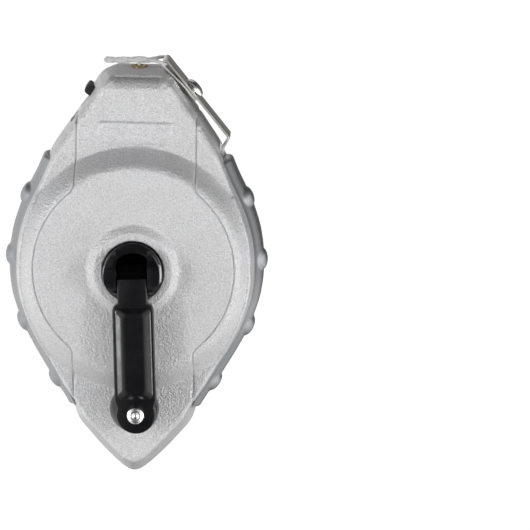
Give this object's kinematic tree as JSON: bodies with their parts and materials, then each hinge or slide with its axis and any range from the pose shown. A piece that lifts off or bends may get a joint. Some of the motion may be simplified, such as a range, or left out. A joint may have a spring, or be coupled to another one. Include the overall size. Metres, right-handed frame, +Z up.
{
  "type": "chalk line reel",
  "caption": "Hand-cranked chalk line reel: cast case, planetary gearset, folding crank with a turning knob, line with a folded steel hook, sliding fill door and side grips.",
  "frame": {"origin": "where the crank and spool axis meets the plane of the flat rear face that the reel rests on", "axes": "+Z up towards the line outlet, -Y towards the crank side (front), +X to the right seen from the front, where the hook is stowed"},
  "size_m": [0.084, 0.0489, 0.1357],
  "materials": {
    "case_metal": "fine blasted",
    "grip_rubber": "smooth satin",
    "screw_steel": "bright",
    "gear_nylon": "moulded",
    "plate_steel": "zinc plated",
    "axle_steel": "ground",
    "wiper_felt": "felt",
    "ferrule_brass": "polished",
    "line_cord": "braided",
    "door_rubber": "matte",
    "door_plastic": "moulded",
    "crank_black": "glossy",
    "rivet_steel": "polished",
    "hook_steel": "polished"
  },
  "bodies": {
    "case": {"front_shell": "case_metal", "rear_shell": "case_metal", "side_grip_right": "grip_rubber", "side_grip_left": "grip_rubber", "case_screw_1": "screw_steel", "case_screw_2": "screw_steel", "case_screw_3": "screw_steel", "case_screw_4": "screw_steel", "case_screw_5": "screw_steel", "ring_gear": "gear_nylon", "gear_cover": "plate_steel", "hub_bush": "gear_nylon", "spool_axle": "axle_steel", "thrust_washer": "gear_nylon", "line_wiper": "wiper_felt", "outlet_ferrule": "ferrule_brass", "line_lead": "line_cord", "door_seal": "door_rubber"},
    "crank": {"crank_hub": "crank_black", "fold_pin": "axle_steel", "planet_carrier": "plate_steel", "planet_pin_1": "axle_steel", "planet_pin_2": "axle_steel", "planet_pin_3": "axle_steel"},
    "arm": {"crank_arm": "crank_black", "knob_rivet": "rivet_steel", "knob_washer": "rivet_steel"},
    "knob": {"crank_knob": "crank_black"},
    "spool": {"spool": "gear_nylon", "sun_gear": "plate_steel", "wound_line": "line_cord"},
    "planet_1": {"planet_gear_1": "gear_nylon"},
    "planet_2": {"planet_gear_2": "gear_nylon"},
    "planet_3": {"planet_gear_3": "gear_nylon"},
    "line": {"line_end": "line_cord"},
    "hook": {"hook_plate": "hook_steel", "hook_rivet": "hook_steel"},
    "door": {"fill_door": "door_plastic"}
  },
  "joints": [
    {"name": "crank_spin", "type": "hinge", "parent": "case", "child": "crank", "pos_m": [0, -0.0365, 0], "axis": [0, -1, 0], "continuous": true},
    {"name": "crank_fold", "type": "hinge", "parent": "crank", "child": "arm", "pos_m": [0, -0.044, 0], "axis": [-0.9992, 0, -0.0401], "range_deg": [0, 180]},
    {"name": "knob_spin", "type": "hinge", "parent": "arm", "child": "knob", "pos_m": [0.00181, -0.0365, -0.04506], "axis": [0, -1, 0], "continuous": true},
    {"name": "spool_spin", "type": "hinge", "parent": "case", "child": "spool", "pos_m": [0, -0.0165, 0], "axis": [0, -1, 0], "continuous": true},
    {"name": "planet_spin_1", "type": "hinge", "parent": "crank", "child": "planet_1", "pos_m": [0, -0.031, 0.0171], "axis": [0, -1, 0], "continuous": true},
    {"name": "planet_spin_2", "type": "hinge", "parent": "crank", "child": "planet_2", "pos_m": [-0.01481, -0.031, -0.00855], "axis": [0, -1, 0], "continuous": true},
    {"name": "planet_spin_3", "type": "hinge", "parent": "crank", "child": "planet_3", "pos_m": [0.01481, -0.031, -0.00855], "axis": [0, -1, 0], "continuous": true},
    {"name": "line_pull", "type": "slide", "parent": "case", "child": "line", "axis": [0, 0, 1], "range_m": [0, 0.02]},
    {"name": "hook_swing", "type": "hinge", "parent": "line", "child": "hook", "pos_m": [0.0087, -0.0165, 0.0642], "axis": [0, -1, 0], "range_deg": [0, 140]},
    {"name": "door_slide", "type": "slide", "parent": "case", "child": "door", "axis": [-0.5447, 0, -0.8386], "range_m": [0, 0.009]}
  ],
  "couplings": [
    {"joint": "spool_spin", "follows": "crank_spin", "ratio": 6},
    {"joint": "planet_spin_1", "follows": "crank_spin", "ratio": -2.5},
    {"joint": "planet_spin_2", "follows": "crank_spin", "ratio": -2.5},
    {"joint": "planet_spin_3", "follows": "crank_spin", "ratio": -2.5}
  ]
}
